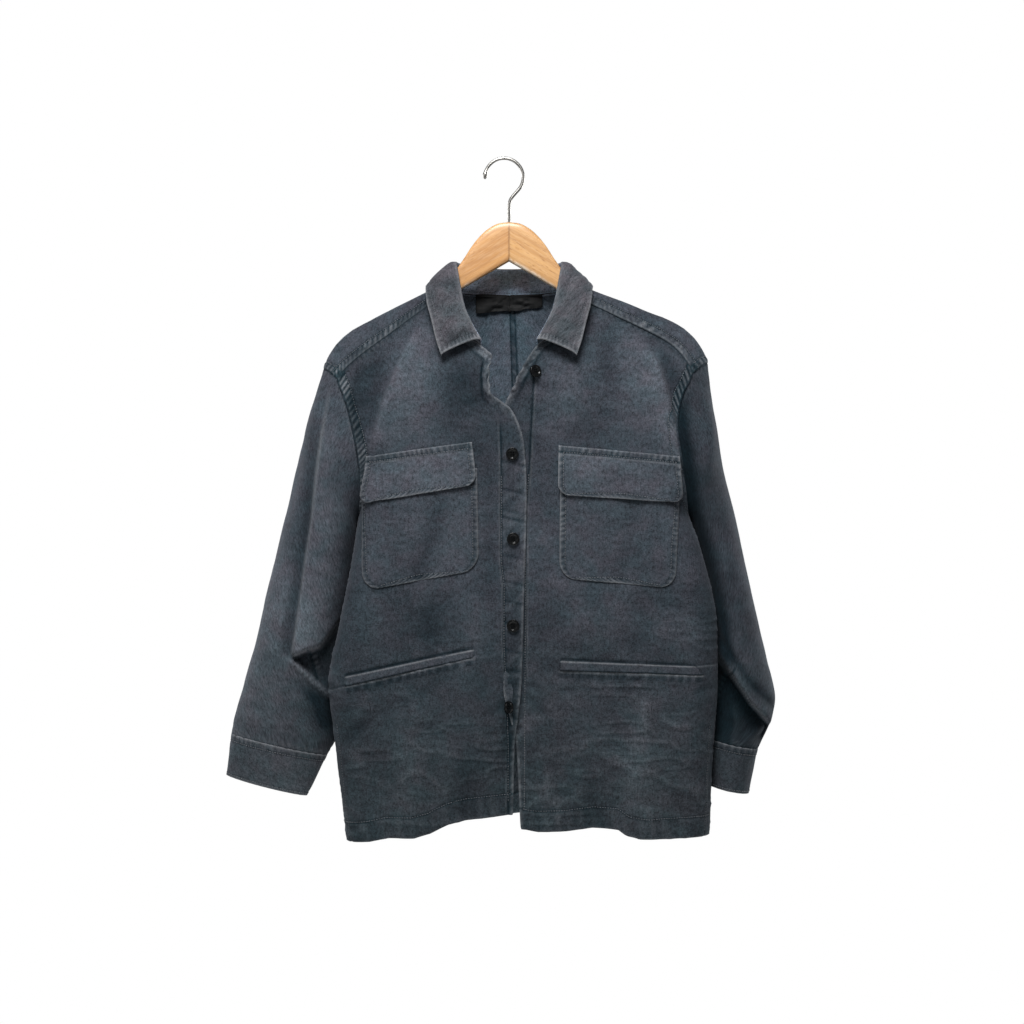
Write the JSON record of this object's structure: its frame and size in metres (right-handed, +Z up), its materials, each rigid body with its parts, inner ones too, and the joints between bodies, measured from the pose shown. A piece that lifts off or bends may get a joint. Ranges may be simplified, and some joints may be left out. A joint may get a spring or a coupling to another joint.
{
  "type": "jacket on hanger",
  "caption": "Charcoal fine-cord overshirt jacket with a shirt collar, flap chest pockets and hip welts, buttoned and hanging open at the hem on a contoured wooden hanger with a wire hook.",
  "frame": {"origin": "inner top of the hook's arc, where it rests on a rail", "axes": "+Z up along the hanging garment, -Y out of the jacket's front, +X to the wearer's left"},
  "size_m": [0.6716, 0.1425, 0.829],
  "materials": {
    "charcoal_cord": "washed fine-wale cotton cord, matt with a soft nap",
    "label_black": "plain black woven tape",
    "beech": "clear satin lacquer over straight grain",
    "chromed_wire": "bright plated wire",
    "button_black": "polished black resin"
  },
  "bodies": {
    "root": {"front_right": "charcoal_cord", "front_left": "charcoal_cord", "back_right": "charcoal_cord", "back_left": "charcoal_cord", "sleeve_right": "charcoal_cord", "sleeve_left": "charcoal_cord", "cuff_right": "charcoal_cord", "cuff_left": "charcoal_cord", "chest_pocket_right": "charcoal_cord", "chest_pocket_left": "charcoal_cord", "pocket_flap_right": "charcoal_cord", "pocket_flap_left": "charcoal_cord", "hip_welt_right": "charcoal_cord", "hip_welt_left": "charcoal_cord", "collar_stand": "charcoal_cord", "collar_leaf": "charcoal_cord", "neck_label": "label_black", "button_1": "button_black", "button_2": "button_black", "button_3": "button_black", "button_4": "button_black", "button_5": "button_black", "hanger_right": "beech", "hanger_left": "beech", "hanger_hook": "chromed_wire"}
  },
  "joints": []
}
